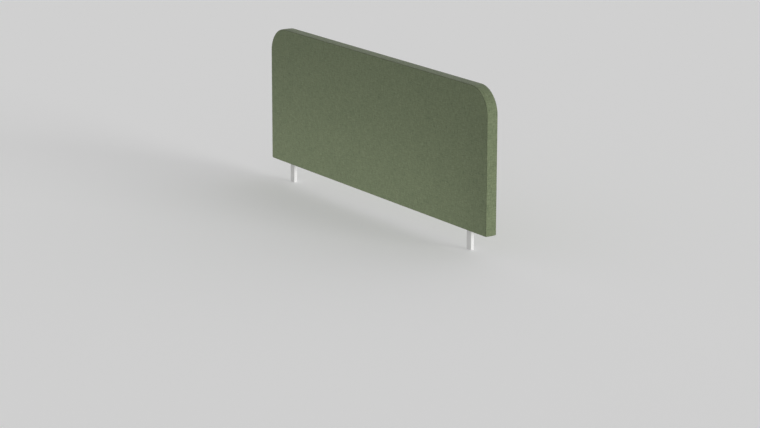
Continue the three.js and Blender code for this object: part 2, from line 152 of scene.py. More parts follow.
def wave(x, z, seed):
    """A smooth, repeatable unevenness of about -1 to 1, from sines of mixed length and heading."""
    random = np.random.default_rng(seed)
    total = np.zeros_like(x, float)
    power = 0
    for i in range(14):
        length = 70 * 1.22 ** i
        heading = random.uniform(0, math.pi)
        phase = random.uniform(0, 2 * math.pi)
        weight = length ** 0.5
        across = x * math.cos(heading) + z * math.sin(heading)
        total += weight * np.sin(2 * math.pi * across / length + phase)
        power += weight * weight / 2
    return total / math.sqrt(power)


def blunt_corners(points, reach=5.0, most=0.62):
    """Pulls in the lower corners, where three sewn edges meet and the cloth is gathered."""
    co = np.asarray(points, float).copy()
    from_end = HALF - np.abs(co[:, 0])
    from_face = FACE - np.abs(co[:, 1])
    from_bottom = co[:, 2] - LOW
    far = np.sqrt(from_end * from_end + from_face * from_face + from_bottom * from_bottom)
    t = np.clip(1 - far / reach, 0, 1)
    pull = most * t * t * (3 - 2 * t)
    co[:, 0] -= np.sign(co[:, 0]) * pull
    co[:, 1] -= np.sign(co[:, 1]) * pull
    co[:, 2] += pull
    return co


def pucker(distance, along, height=0.13, line=0.7, fade=1.1):
    """Ripples pulled in by each stitch, dying away beyond the line of the seam."""
    near = np.exp(-np.clip(distance - line, 0, None) / fade)
    return height * near * np.cos(2 * math.pi * along / STITCH)


# ---------------------------------------------------------------- the panel's outline
def counts(step, multiple):
    """Point counts for the outline's runs: bottom, each side, each corner arc, top."""
    lengths = (2 * HALF, ARC_Z - LOW, CORNER_R * math.pi / 2, 2 * ARC_X)
    return [max(multiple, int(round(length / step / multiple)) * multiple) for length in lengths]


def ring_count(runs):
    bottom, side, arc, top = runs
    return bottom + 2 * side + 2 * arc + top


def outline(inset, runs):
    """The outline set in, from the far bottom corner, anticlockwise seen from the front: x, z."""
    x, z, r = HALF - inset, TOP - inset, CORNER_R - inset
    low = LOW + inset
    bottom, side, arc, top = [np.arange(n) / n for n in runs]
    turn = arc * math.pi / 2
    parts = [
        (-x + 2 * x * bottom, np.full(len(bottom), low)),
        (np.full(len(side), x), low + (ARC_Z - low) * side),
        (ARC_X + r * np.cos(turn), ARC_Z + r * np.sin(turn)),
        (ARC_X - 2 * ARC_X * top, np.full(len(top), z)),
        (-ARC_X - r * np.sin(turn), ARC_Z + r * np.cos(turn)),
        (np.full(len(side), -x), ARC_Z - (ARC_Z - low) * side),
    ]
    return np.concatenate([p[0] for p in parts]), np.concatenate([p[1] for p in parts])


def edge_distance(x, z):
    """Distance in from the panel's outline."""
    straight = np.minimum(np.minimum(HALF - np.abs(x), TOP - z), z - LOW)
    past_x, past_z = np.abs(x) - ARC_X, z - ARC_Z
    corner = (past_x > 0) & (past_z > 0)
    return np.where(corner, np.minimum(CORNER_R - np.hypot(past_x, past_z), z - LOW), straight)


def fill_points(ring_x, ring_z, spacing, inset):
    """A triangle grid inside the ring, joined to it.

    Returns the extra points, and triangles that index the ring and then the extras.
    """
    columns = int((HALF - inset) // spacing)
    height = TOP - LOW - 2 * inset
    row_step = height / round(height / (spacing * 0.87))
    rows = []
    for k, z in enumerate(np.arange(LOW + inset, TOP - inset + 1e-6, row_step)):
        xs = (np.arange(-columns, columns + 1) + (0.5 if k % 2 else 0)) * spacing
        rows.append(np.stack([xs, np.full(len(xs), z)], 1))
    extras = np.concatenate(rows)
    extras = extras[edge_distance(extras[:, 0], extras[:, 1]) >= inset - 1e-6]
    n = len(ring_x)
    verts = [Vector((float(x), float(z))) for x, z in zip(ring_x, ring_z)]
    verts += [Vector((float(x), float(z))) for x, z in extras]
    edges = [(i, (i + 1) % n) for i in range(n)]
    filled = delaunay_2d_cdt(verts, edges, [], 1, 1e-4)
    if len(filled[0]) != len(verts):
        raise RuntimeError("the fill changed the outline")
    order = [sources[0] for sources in filled[3]]
    tris = np.array([[order[i] for i in f] for f in filled[2]], np.int32)
    flat = np.array([list(v) for v in verts])
    a, b, c = flat[tris[:, 0]], flat[tris[:, 1]], flat[tris[:, 2]]
    area = (b[:, 0] - a[:, 0]) * (c[:, 1] - a[:, 1]) - (b[:, 1] - a[:, 1]) * (c[:, 0] - a[:, 0])
    tris[area < 0] = tris[area < 0][:, ::-1]
    return extras, tris


# ---------------------------------------------------------------- swell of the faces
SWELL_CAP = 1.4         # the most a face swells, mm
SWELL_SPACING = 22
SWELL_FRAMES = 20


def swell_field():
    """Runs a pressured cloth sheet pinned at its seam. Returns its x, z and its rise, in mm."""
    x, z = outline(3, counts(SWELL_SPACING, 2))
    extras, tris = fill_points(x, z, spacing=SWELL_SPACING, inset=20)
    co = np.concatenate([
        np.stack([x, np.zeros_like(x), z], 1),
        np.stack([extras[:, 0], np.zeros(len(extras)), extras[:, 1]], 1),
    ])
    sheet = make_object("swell_sheet", co, list(tris))
    sheet.vertex_groups.new(name="pin").add(list(range(len(x))), 1.0, "REPLACE")
    cloth = sheet.modifiers.new("cloth", "CLOTH")
    settings = cloth.settings
    settings.quality = 5
    settings.mass = 0.25
    settings.tension_stiffness = settings.compression_stiffness = 40
    settings.shear_stiffness = 20
    settings.bending_stiffness = 4
    settings.air_damping = 2
    settings.use_pressure = True
    settings.uniform_pressure_force = 4
    settings.vertex_group_mass = "pin"
    settings.effector_weights.gravity = 0
    cloth.collision_settings.use_collision = False
    cloth.point_cache.frame_start, cloth.point_cache.frame_end = 1, SWELL_FRAMES
    for f in range(1, SWELL_FRAMES + 1):
        scene.frame_set(f)
    settled = sheet.evaluated_get(bpy.context.evaluated_depsgraph_get())
    moved = np.array([v.co for v in settled.data.vertices]) * 1000
    scene.frame_set(1)
    bpy.data.objects.remove(sheet)
    return np.stack([co[:, 0], co[:, 2]], 1), np.abs(moved[:, 1])


def swell_lookup():
    """A search tree over the settled sheet, and the rise at each of its points."""
    places, rise = swell_field()
    peak = float(np.percentile(rise, 99)) or 1.0
    # foam stops the sheet rising far, so the swelling is pressed down to the cap
    rise = SWELL_CAP * np.tanh(1.6 * rise / peak)
    tree = kdtree.KDTree(len(places))
    for i, (x, z) in enumerate(places):
        tree.insert((x, z, 0), i)
    tree.balance()
    return tree, rise


SWELL = swell_lookup()


def crown(x, z, mirror, seed):
    """How far the face stands proud of its flat plane, in mm, at points of the face."""
    distance = edge_distance(x, z)
    ease = 1 - np.exp(-np.clip(distance - 3, 0, None) / 22)
    if SWELL is None:
        base = SWELL_CAP * ease * 0.85
    else:
        tree, rise = SWELL
        base = np.empty(len(x))
        for i in range(len(x)):
            found = tree.find_n((x[i] * mirror, z[i], 0), 4)
            weights = [1 / (near[2] + 1.0) ** 2 for near in found]
            base[i] = sum(w * rise[near[1]] for w, near in zip(weights, found)) / sum(weights)
        base = base * np.clip((distance - 2.5) / 14, 0, 1)
        # half from the cloth, the rest an even swell
        base = base * 0.5 + SWELL_CAP * ease * 0.45
    return base + 0.16 * wave(x * mirror, z, seed) * ease


# ---------------------------------------------------------------- face sheets
# rings of a face sheet: (inset, depth, one point kept in this many)
FACE_RINGS = [(inset, depth, 1) for inset, depth in ROLL] + [(3.7, 0, 1), (6.2, 0, 2), (11, 0, 4)]
ROLL_ZONE = 3.2     # nearer the edge than this, the inner skin makes room for the roll
ROLL_ROOM = 0.85    # how much further in the inner skin lies there


def face_sheet(name, side, seed):
    """side -1 is the front, +1 the back. Outer and inner skins joined round the sewn edge."""
    runs = counts(STEP, 12)
    ring_size = ring_count(runs)

    def ring(inset, every):
        return outline(inset, [n // every for n in runs])

    rings = [ring(inset, every) for inset, _, every in FACE_RINGS]
    starts = np.cumsum([0] + [len(x) for x, _ in rings])
    edge_x, edge_z = rings[0]
    steps = np.hypot(np.diff(np.append(edge_x, edge_x[0])), np.diff(np.append(edge_z, edge_z[0])))
    along = np.concatenate([[0], np.cumsum(steps)[:-1]])
    extras, tris = fill_points(*rings[-1], spacing=9, inset=18)

    x = np.concatenate([r[0] for r in rings] + [extras[:, 0]])
    z = np.concatenate([r[1] for r in rings] + [extras[:, 1]])
    depth = np.concatenate([d + pucker(inset, along[::every]) for inset, d, every in FACE_RINGS]
                           + [np.zeros(len(extras))])
    distance = np.concatenate([np.full(len(r[0]), float(row[0]))
                               for r, row in zip(rings, FACE_RINGS)]
                              + [edge_distance(extras[:, 0], extras[:, 1])])
    depth = depth - crown(x, z, -side, seed) * np.clip((distance - 1.2) / 3, 0, 1)

    faces = []
    for k in range(len(FACE_RINGS) - 1):
        every, next_every = FACE_RINGS[k][2], FACE_RINGS[k + 1][2]
        join = ring_faces if every == next_every else None
        if join:
            faces += join(starts[k], starts[k + 1], ring_size // every)
        else:
            faces += halve_faces(starts[k], ring_size // every, starts[k + 1])
    count = len(x)
    middle = np.arange(starts[-2], count)
    faces += list(middle[tris])

    # the inner skin follows below, and leaves room under the roll
    inner_x, inner_z = x.copy(), z.copy()
    for start, (inset, _, every) in zip(starts, FACE_RINGS):
        if inset < ROLL_ZONE:
            ring_x, ring_z = ring(inset + ROLL_ROOM, every)
            inner_x[start:start + len(ring_x)] = ring_x
            inner_z[start:start + len(ring_x)] = ring_z
    inner_depth = np.where(distance < ROLL_ZONE, np.maximum(depth + 0.55, 0.95), depth + CLOTH)
    co = np.concatenate([
        np.stack([x, side * (FACE - depth), z], 1),
        np.stack([inner_x, side * (FACE - inner_depth), inner_z], 1),
    ])
    inner = [np.asarray(f)[::-1] + count for f in faces]
    all_faces = faces + inner + ring_faces(count, 0, ring_size)
    if side > 0:
        all_faces = [np.asarray(f)[::-1] for f in all_faces]
    uv = np.stack([co[:, 0] * side * -1, co[:, 2]], 1) * MM
    edge = np.concatenate([distance, distance])
    return make_object(name, blunt_corners(co), all_faces, uv=uv, attrs={"edge_mm": edge})


front = face_sheet("front_face_fabric", -1, seed=11)
back = face_sheet("back_face_fabric", 1, seed=23)


# ---------------------------------------------------------------- edge band
# the band between a rolled edge and its middle: (distance from the face, inset below the outline)
BAND_RISE = [(4.2, -0.10), (7.5, -0.26), (11.5, -0.42), (16, -0.55), (20.5, -0.62)]
BAND_MIDDLE_INSET = -0.64
BAND_INNER_WIDTH = 0.93     # the inner skin's width as a share of the outer's


def band_stations():
    """Stations from the near bottom, over the top, to the far bottom.

    Columns: x, z, outward normal x, outward normal z, extra inset, length along.
    """
    straight = ARC_Z - LOW - ROLL_WIDTH
    arc_length = CORNER_R * math.pi / 2
    n_side = int(round(straight / STEP))
    n_arc = int(round(arc_length / STEP))
    n_top = int(round(2 * ARC_X / STEP))
    at_arc = ARC_Z - LOW
    at_top = at_arc + arc_length
    at_far_arc = at_top + 2 * ARC_X
    at_far_side = at_far_arc + arc_length
    rows = [(HALF, LOW + up, 1, 0, inset, up) for up, inset in ROLL[:-1]]
    for i in range(n_side):
        z = LOW + ROLL_WIDTH + straight * i / n_side
        rows.append((HALF, z, 1, 0, 0, z - LOW))
    for i in range(n_arc):
        angle = math.pi / 2 * i / n_arc
        c, s = math.cos(angle), math.sin(angle)
        rows.append((ARC_X + CORNER_R * c, ARC_Z + CORNER_R * s, c, s, 0,
                     at_arc + CORNER_R * angle))
    for i in range(n_top + 1):
        x = ARC_X - 2 * ARC_X * i / n_top
        rows.append((x, TOP, 0, 1, 0, at_top + ARC_X - x))
    for i in range(1, n_arc + 1):
        angle = math.pi / 2 * i / n_arc
        c, s = math.cos(angle), math.sin(angle)
        rows.append((-ARC_X - CORNER_R * s, ARC_Z + CORNER_R * c, -s, c, 0,
                     at_far_arc + CORNER_R * angle))
    for i in range(1, n_side + 1):
        z = ARC_Z - straight * i / n_side
        rows.append((-HALF, z, -1, 0, 0, at_far_side + ARC_Z - z))
    rows += [(-HALF, LOW + up, -1, 0, inset, at_far_side + ARC_Z - LOW - up)
             for up, inset in ROLL[:-1][::-1]]
    return np.array(rows)


def band():
    """Outer and inner skins of the band, closed along both seams and across both ends."""
    x, z, normal_x, normal_z, end_inset, along = [c[:, None] for c in band_stations().T]
    half = ROLL + BAND_RISE
    section = np.array(half + [(FACE, BAND_MIDDLE_INSET)]
                       + [(2 * FACE - distance, inset) for distance, inset in half[::-1]])
    y = section[:, 0] - FACE
    depth = np.minimum(section[:, 0], 2 * FACE - section[:, 0])

    random = np.random.default_rng(5)
    uneven = sum(0.10 * np.sin(2 * math.pi * along / length + random.uniform(0, 6.28))
                 for length in (61, 97, 163, 271, 443)) * 0.45
    from_end = np.minimum(along, along[-1] - along)
    fade = np.clip(depth / 12, 0, 1)[None, :] * np.clip(from_end / 10, 0, 1)
    inset = section[:, 1][None, :] * np.where(end_inset > 0, 0.35, 1)
    inset = inset + pucker(depth[None, :], along) + uneven * fade
    # across the turned-under ends the band tucks in with the roll
    inset = inset + end_inset

    def surface(inset):
        across = np.broadcast_to(y[None, :], inset.shape)
        return np.stack([x - normal_x * inset, across, z - normal_z * inset], -1)

    outer = surface(inset)
    inner = surface(inset + CLOTH)
    inner[..., 1] *= BAND_INNER_WIDTH
    shape = inset.shape
    count = shape[0] * shape[1]
    index = np.arange(count).reshape(shape)

    def rim(a, b):
        return list(np.stack([a, b, b + count, a + count], 1))

    skin = grid_faces(index)
    faces = skin + [f[::-1] + count for f in skin]
    faces += rim(index[:-1, 0], index[1:, 0]) + rim(index[1:, -1], index[:-1, -1])
    faces += rim(index[0, 1:], index[0, :-1]) + rim(index[-1, :-1], index[-1, 1:])

    def both_skins(values):
        return np.tile(np.broadcast_to(values, shape).reshape(-1), 2)

    uv = np.stack([both_skins(y[None, :]), both_skins(along)], 1) * MM
    edge = both_skins(np.minimum(depth[None, :], from_end))
    co = np.concatenate([outer.reshape(-1, 3), inner.reshape(-1, 3)])
    return make_object("edge_band_fabric", blunt_corners(co), faces, uv=uv,
                       attrs={"edge_mm": edge})


edge_band = band()


# ---------------------------------------------------------------- bottom strip
def loop_prism(name, section, x0, x1, step):
    """A closed Y-Z section swept along X."""
    section = np.array(section, float)
    points = len(section)
    stations = max(2, int(round((x1 - x0) / step)) + 1)
    co = np.column_stack([np.repeat(np.linspace(x0, x1, stations), points),
                          np.tile(section, (stations, 1))])
    index = np.arange(stations * points).reshape(stations, points)
    faces = wrapped_faces(index) + [index[0][::-1], index[-1]]
    around = np.concatenate([[0], np.cumsum(np.hypot(*np.diff(section, axis=0).T))])
    uv = np.stack([co[:, 0], np.tile(around, stations)], 1) * MM
    return outward(make_object(name, blunt_corners(co), faces, uv=uv))


STRIP_END_INSET = 1.1
BUSH_HOLE_HALF_X, BUSH_HOLE_HALF_Y = 17.2, 9.7
BUSH_HOLE_REACH = 5     # how far the cutter goes above and below the strip's underside


def strip_section():
    """y, z round the strip: front roll, sagging underside, folded zip edge, then the top side."""
    section = [(-FACE + distance, LOW + depth) for distance, depth in ROLL]
    section += [(y, LOW - 0.12 * math.sin(math.pi * (y + 22) / 34))
                for y in np.linspace(-20.5, ZIP_EDGE - 1.6, 14)]
    section += [(ZIP_EDGE - 0.5, LOW + 0.14), (ZIP_EDGE, LOW + 0.6), (ZIP_EDGE - 0.4, LOW + 1.02)]
    section += [(y, LOW + 1.05) for y in np.linspace(ZIP_EDGE - 2, -21.8, 6)]
    return section + [(-22.6, LOW + 1.5)]


def cut_bush_hole(strip, end):
    """Cuts the rectangular hole round a guide bush."""
    low, high = box_mm(end + "_guide_bush")
    middle = (low[0] + high[0]) / 2
    y, under, over = BUSH_HOLE_HALF_Y, LOW - BUSH_HOLE_REACH, LOW + BUSH_HOLE_REACH
    cutter = loop_prism("cut_" + end, [(-y, under), (y, under), (y, over), (-y, over)],
                        middle - BUSH_HOLE_HALF_X, middle + BUSH_HOLE_HALF_X, step=40)
    cut = strip.modifiers.new("cut", "BOOLEAN")
    cut.operation, cut.solver, cut.object = "DIFFERENCE", "EXACT", cutter
    graph = bpy.context.evaluated_depsgraph_get()
    cut_mesh = bpy.data.meshes.new_from_object(strip.evaluated_get(graph))
    strip.modifiers.clear()
    strip.data = cut_mesh
    bpy.data.objects.remove(cutter)


bottom_strip = loop_prism("bottom_strip_fabric", strip_section(),
                          -HALF + STRIP_END_INSET, HALF - STRIP_END_INSET, step=6)
for end in ENDS:
    cut_bush_hole(bottom_strip, end)

# ---------------------------------------------------------------- threads
THREAD_SIDES = THREAD_RINGS = 6
SEAM_INSET = 1.0        # the seam thread's distance in from both surfaces
SEAM_STITCH = 3.5
TACK_STITCH = 2.0
TACKS = 5               # stitches in the bar tack at each lower corner
TOPSTITCH_PITCH = 3.6
TOPSTITCH_STITCH = 2.9


def thread_run(name, centres, directions, length, radius):
    """A row of short stitches, each a slim capsule along its own direction."""
    centres = np.asarray(centres, float)
    count = len(centres)
    t = np.linspace(0, 1, THREAD_RINGS)
    radii = radius * np.sqrt(np.clip(1 - (2 * t - 1) ** 2, 0.03, 1)) ** 0.6
    offsets = (t - 0.5)[None, :] * np.broadcast_to(np.asarray(length, float), (count,))[:, None]
    heading = np.asarray(directions, float)
    heading = heading / np.linalg.norm(heading, axis=1)[:, None]
    level = np.abs(heading[:, 1:2]) < 0.9
    reference = np.where(level, np.array([[0, 1.0, 0]]), np.array([[1.0, 0, 0]]))
    side = np.cross(heading, reference)
    side /= np.linalg.norm(side, axis=1)[:, None]
    other = np.cross(heading, side)
    angle = (np.arange(THREAD_SIDES) * 2 * math.pi / THREAD_SIDES)[None, None, :, None]
    round_it = np.cos(angle) * side[:, None, None, :] + np.sin(angle) * other[:, None, None, :]
    co = (centres[:, None, None, :]
          + offsets[:, :, None, None] * heading[:, None, None, :]
          + radii[None, :, None, None] * round_it).reshape(-1, 3)
    index = np.arange(len(co)).reshape(count, THREAD_RINGS, THREAD_SIDES)
    faces = wrapped_faces(index) + list(index[:, 0, ::-1]) + list(index[:, -1, :])
    return outward(make_object(name, co, faces))


def seam_threads(name, side):
    """Stitches round a face's outline. side -1 is the front, +1 the back."""
    runs = counts(STITCH, 1)
    x, z = outline(SEAM_INSET, runs)
    dx, dz = np.roll(x, -1) - np.roll(x, 1), np.roll(z, -1) - np.roll(z, 1)
    # along the back bottom edge the zip takes the seam's place
    first = runs[0] if side > 0 else 0
    y = np.full(len(x), side * (FACE - SEAM_INSET))
    centres = np.stack([x, y, z], 1)[first:]
    headings = np.stack([dx, np.zeros(len(x)), dz], 1)[first:]
    lengths = [SEAM_STITCH] * len(centres) + [TACK_STITCH] * (2 * TACKS)
    # each lower corner is closed with a short bar tack
    tack_centres, tack_headings = [], []
    for end in (-1, 1):
        for i in range(TACKS):
            inset = 0.95 + 0.14 * i
            tack_centres.append((end * (HALF - inset), side * (FACE - inset),
                                 LOW + 0.75 + 0.42 * i))
            tack_headings.append((end, -side, 0.25))
    centres = blunt_corners(np.concatenate([centres, tack_centres]))
    headings = np.concatenate([headings, tack_headings])
    return thread_run(name, centres, headings, lengths, radius=0.3)


def topstitch(name, y, z, radius):
    """A straight row of stitches along the zip."""
    xs = np.arange(-HALF + 8, HALF - 8, TOPSTITCH_PITCH)
    centres = np.stack([xs, np.full(len(xs), y), np.full(len(xs), z)], 1)
    headings = np.tile([1.0, 0, 0], (len(xs), 1))
    return thread_run(name, centres, headings, TOPSTITCH_STITCH, radius)


seam_front = seam_threads("front_seam_thread", -1)
seam_back = seam_threads("back_seam_thread", 1)
topstitch_front = topstitch("zip_topstitch_front", ZIP_EDGE - 2.3, LOW + 0.02, radius=0.28)
topstitch_back = topstitch("zip_topstitch_back", FACE - 2.75,
                           box_mm("zip_tape_back")[0][2] + 0.02, radius=0.25)

# ---------------------------------------------------------------- zip
coil_low, coil_high = box_mm("zip_coil_front")
ZIP_Y = (coil_high[1] + box_mm("zip_coil_back")[0][1]) / 2
ZIP_Z = (coil_low[2] + coil_high[2]) / 2
COIL_PITCH = 2.0
COIL_POINTS = 12        # points in a turn
COIL_SIDES = 5          # sides of the filament
COIL_END_ROOM = 3       # length left over at the ends, both together


def coil(name, side):
    """One half of a coil zip: a filament wound in flattened loops. side -1 is the front half."""
    turns = int((coil_high[0] - coil_low[0] - COIL_END_ROOM) // COIL_PITCH)
    t = np.arange(turns * COIL_POINTS + 1) / COIL_POINTS
    turn = 2 * math.pi * t
    shift = -COIL_PITCH / 4 if side > 0 else 0
    x = -(turns * COIL_PITCH) / 2 + COIL_PITCH * t + shift
    # each loop starts furthest from the centre line, reaches in almost to it, and comes back
    reach = (1.28 - 1.18 * np.cos(turn)) * 0.92
    rise = 0.62 * np.sin(turn) * (1 + 0.25 * np.cos(turn))
    # the filament is thickest where it is furthest from the centre line
    radius = 0.33 + 0.10 * np.clip(np.cos(turn), 0, 1) ** 6
    path = np.stack([x, ZIP_Y + side * (2.62 - reach), ZIP_Z + rise], 1)
    heading = np.gradient(path, axis=0)
    heading /= np.linalg.norm(heading, axis=1)[:, None]
    across = np.cross(heading, np.array([[1.0, 0, 0]]))
    across /= np.linalg.norm(across, axis=1)[:, None]
    other = np.cross(heading, across)
    angle = (np.arange(COIL_SIDES) * 2 * math.pi / COIL_SIDES)[None, :, None]
    co = path[:, None] + radius[:, None, None] * (
        np.cos(angle) * across[:, None] + np.sin(angle) * other[:, None])
    index = np.arange(len(path) * COIL_SIDES).reshape(len(path), COIL_SIDES)
    faces = wrapped_faces(index) + [index[0][::-1], index[-1]]
    return outward(make_object(name, co.reshape(-1, 3), faces))


def tape(name, node):
    """A zip tape with fine ribs along its underside."""
    low, high = box_mm(node)
    ys = np.linspace(low[1] + 0.15, high[1] - 0.15, 13)
    ribs = 0.05 * np.cos(np.arange(13) * math.pi)
    under = [(y, low[2] + 0.06 + rib) for y, rib in zip(ys, ribs)]
    over = [(y, high[2]) for y in ys[::-2]]
    return loop_prism(name, under + over, low[0], high[0], step=12)


coil_front = coil("zip_coil_front_wound", -1)
coil_back = coil("zip_coil_back_wound", 1)
tape_front = tape("zip_tape_front_woven", "zip_tape_front")
tape_back = tape("zip_tape_back_woven", "zip_tape_back")


# ---------------------------------------------------------------- posts
POST_WALL = 2.0
POST_CORNER_R = 2.0
POST_EASE = 0.35        # easing of the outer end edges
POST_INNER_EASE = 0.1   # easing of the bore's end edges
POST_LEAST_R = 0.3      # smallest corner radius, inside


def rounded(cx, cy, width, depth, r, steps=6):
    """A rectangle with rounded corners, anticlockwise from above."""
    points = []
    for k, (sx, sy) in enumerate(((1, 1), (-1, 1), (-1, -1), (1, -1))):
        for i in range(steps + 1):
            angle = math.pi / 2 * (k + i / steps)
            points.append((cx + sx * (width / 2 - r) + r * math.cos(angle),
                           cy + sy * (depth / 2 - r) + r * math.sin(angle)))
    return np.array(points)


def post_tube(end):
    """A post as a drawn rectangular tube with rounded corners and eased ends."""
    low, high = box_mm(end + "_post")
    cx, cy = (low[0] + high[0]) / 2, (low[1] + high[1]) / 2
    width, depth = high[0] - low[0], high[1] - low[1]
    bottom, top = low[2], high[2]
    ease, bore = POST_EASE, -POST_WALL
    # up the outside and down the bore: (growth of the section, height)
    levels = [(-ease, bottom), (-ease * 0.3, bottom + ease * 0.3), (0, bottom + ease)]
    levels += [(0, bottom + up) for up in np.linspace(8, top - bottom - 8, 12)]
    levels += [(0, top - ease), (-ease * 0.3, top - ease * 0.3), (-ease, top)]
    levels += [(bore + POST_INNER_EASE, top), (bore, top - POST_INNER_EASE)]
    levels += [(bore, bottom + POST_INNER_EASE), (bore + POST_INNER_EASE, bottom)]
    rings = []
    for grow, z in levels:
        ring = rounded(cx, cy, width + 2 * grow, depth + 2 * grow,
                       max(POST_CORNER_R + grow, POST_LEAST_R))
        rings.append(np.column_stack([ring, np.full(len(ring), z)]))
    co = np.concatenate(rings)
    index = np.arange(len(co)).reshape(len(rings), -1)
    return outward(make_object(end + "_post_tube", co,
                               wrapped_faces(np.concatenate([index, index[:1]]))))


posts = {end: post_tube(end) for end in ENDS}


# ---------------------------------------------------------------- soft inside pieces
def foam_pad(name, node, seed, r=2.2):
    """A foam pad: the panel's outline with rounded arrises and a slightly uneven face."""
    low, high = box_mm(node)
    inset = HALF - high[0]
    runs = counts(10, 4)
    n = ring_count(runs)
    arris = [(r * (1 - math.sin(a)), r * (1 - math.cos(a))) for a in np.linspace(math.pi / 2, 0, 5)]
    k = len(arris)
    parts = []
    for front_side in (True, False):
        for inward, depth in arris:
            x, z = outline(inset + inward, runs)
            y = (low[1] + depth) if front_side else (high[1] - depth)
            parts.append(np.stack([x, np.full(n, y), np.maximum(z, low[2] + inward)], 1))
    faces = []
    for i in range(k - 1):
        faces += ring_faces(i * n, (i + 1) * n, n)
        faces += ring_faces((k + i) * n, (k + i + 1) * n, n, flip=True)
    faces += ring_faces(0, k * n, n, flip=True)
    extras, tris = fill_points(parts[k - 1][:, 0], parts[k - 1][:, 2], spacing=28, inset=30)
    total = 2 * k * n
    for side, (base, y, inward) in enumerate((((k - 1) * n, low[1], 1),
                                              ((2 * k - 1) * n, high[1], -1))):
        dents = np.abs(0.12 * wave(extras[:, 0], extras[:, 1], seed + side))
        parts.append(np.stack([extras[:, 0], y + inward * dents, extras[:, 1]], 1))
        ids = np.concatenate([np.arange(base, base + n), np.arange(total, total + len(extras))])
        total += len(extras)
        faces += list(ids[tris] if side == 0 else ids[tris][:, ::-1])
    return outward(make_object(name, np.concatenate(parts), faces))


def box_surface(lines):
    """Points and quads over the six sides of a box, cut along the given x, y and z lines."""
    points, faces, index = [], [], {}
    last = [len(values) - 1 for values in lines]

    def point_at(key):
        if key not in index:
            index[key] = len(points)
            points.append(tuple(values[i] for values, i in zip(lines, key)))
        return index[key]

    # the fixed axis, the two axes across the side, and whether the low side is turned over
    for fixed, u, v, turned in ((2, 0, 1, True), (1, 0, 2, False), (0, 1, 2, True)):
        for i in range(last[u]):
            for j in range(last[v]):
                around = [(i, j), (i + 1, j), (i + 1, j + 1), (i, j + 1)]
                for level, flip in ((0, turned), (last[fixed], not turned)):
                    face = []
                    for at_u, at_v in [around[k] for k in ((0, 3, 2, 1) if flip else range(4))]:
                        key = [level] * 3
                        key[u], key[v] = at_u, at_v
                        face.append(point_at(tuple(key)))
                    faces.append(face)
    return np.array(points), faces


def felt_batt(end, seed, r=2.5, step=18):
    """A batt of felt: rounded arrises and slightly uneven faces, kept inside its CAD box."""
    low, high = box_mm(end + "_main_absorber")
    low, high = low + 0.25, high - 0.25

    def lines(a, b):
        n = max(1, int(round((b - a - 2 * r) / step)))
        return np.concatenate([[a, a + 0.3 * r, a + 0.65 * r], np.linspace(a + r, b - r, n + 1),
                               [b - 0.65 * r, b - 0.3 * r, b]])

    box, faces = box_surface([lines(low[i], high[i]) for i in range(3)])
    core = np.clip(box, low + r, high - r)
    offset = box - core
    unit = offset / np.maximum(np.linalg.norm(offset, axis=1)[:, None], 1e-9)
    dent = 0.25 + 0.25 * wave(box[:, 0] * 3, box[:, 2] * 3 + box[:, 1] * 5, seed)
    co = core + unit * (r - np.clip(dent, 0, 0.9)[:, None])
    return outward(make_object(end + "_felt_batt", co, faces))


front_foam = foam_pad("front_foam_pad", "front_pad", seed=31)
back_foam = foam_pad("back_foam_pad", "back_pad", seed=37)
batts = {end: felt_batt(end, seed=41 + i) for i, end in enumerate(ENDS)}


